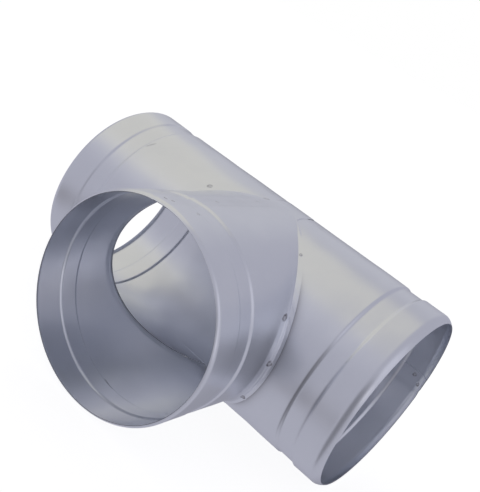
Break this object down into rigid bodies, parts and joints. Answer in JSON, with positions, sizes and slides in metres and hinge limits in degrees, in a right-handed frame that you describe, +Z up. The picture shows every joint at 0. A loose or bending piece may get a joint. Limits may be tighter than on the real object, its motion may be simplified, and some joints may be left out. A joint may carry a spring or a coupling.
{
  "type": "round duct tee",
  "caption": "Equal tee of thin galvanised sheet for round duct: a rolled run with a saddle-mounted branch, and a drawn-in, channelled spigot at each end.",
  "frame": {"origin": "on the surface that the tee lies on, below the middle of its plan box", "axes": "+X along the run towards its shorter arm, the branch leaves towards -Y, +Z up out of the plane of the two axes"},
  "size_m": [0.387, 0.2964, 0.2004],
  "materials": {
    "run_sheet": "zinc-coated sheet, dull grey with faint roll lines",
    "branch_sheet": "zinc-coated sheet, dull grey with weld marks along the saddle flange"
  },
  "bodies": {
    "root": {"run_pipe": "run_sheet", "branch_collar": "branch_sheet"}
  },
  "joints": []
}
